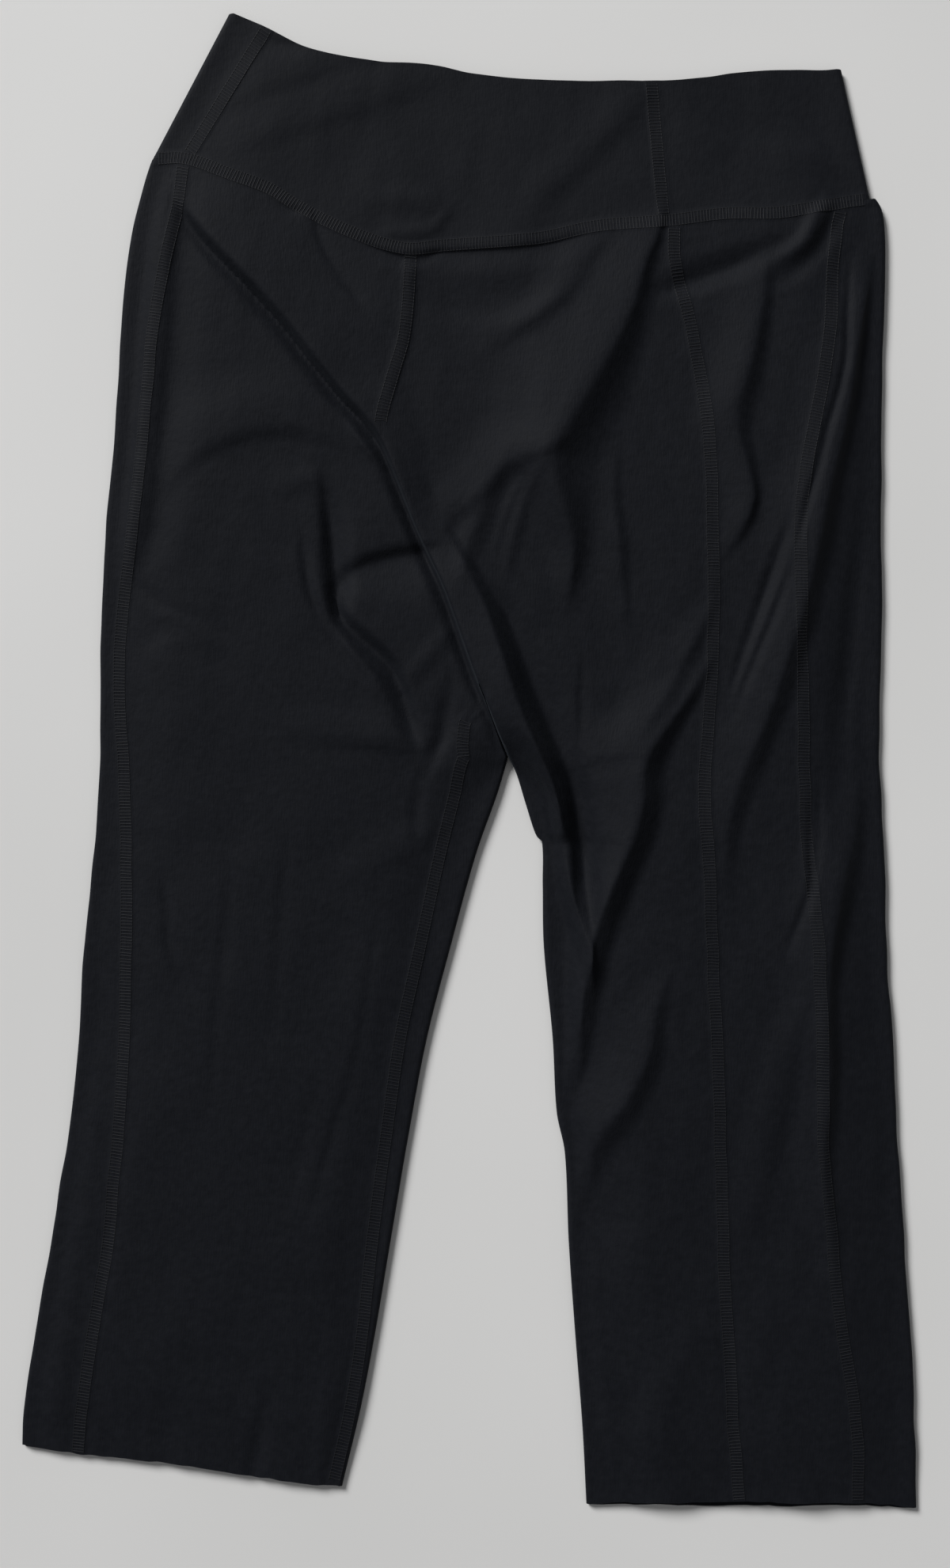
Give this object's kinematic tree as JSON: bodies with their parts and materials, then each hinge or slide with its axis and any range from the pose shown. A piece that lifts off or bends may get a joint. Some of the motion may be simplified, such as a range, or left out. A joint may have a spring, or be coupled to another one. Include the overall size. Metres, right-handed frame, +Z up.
{
  "type": "leggings",
  "caption": "Capri-length stretch-knit leggings with a wide contoured waistband and panelled legs, laid flat with the seat uppermost.",
  "frame": {"origin": "centre of the laid garment's box, on the table", "axes": "+X across the hips towards the leg that shows its side panel, +Y from the hems to the waist, +Z up from the table"},
  "size_m": [0.4841, 0.8087, 0.0193],
  "materials": {
    "knit": "near-black smooth stretch knit, matte with a soft sheen",
    "band_knit": "near-black doubled stretch knit, matte with a soft sheen"
  },
  "bodies": {
    "root": {"back_left": "knit", "back_right": "knit", "side_left": "knit", "side_right": "knit", "front_left": "knit", "front_right": "knit", "waistband_back": "band_knit", "waistband_front": "band_knit"}
  },
  "joints": []
}
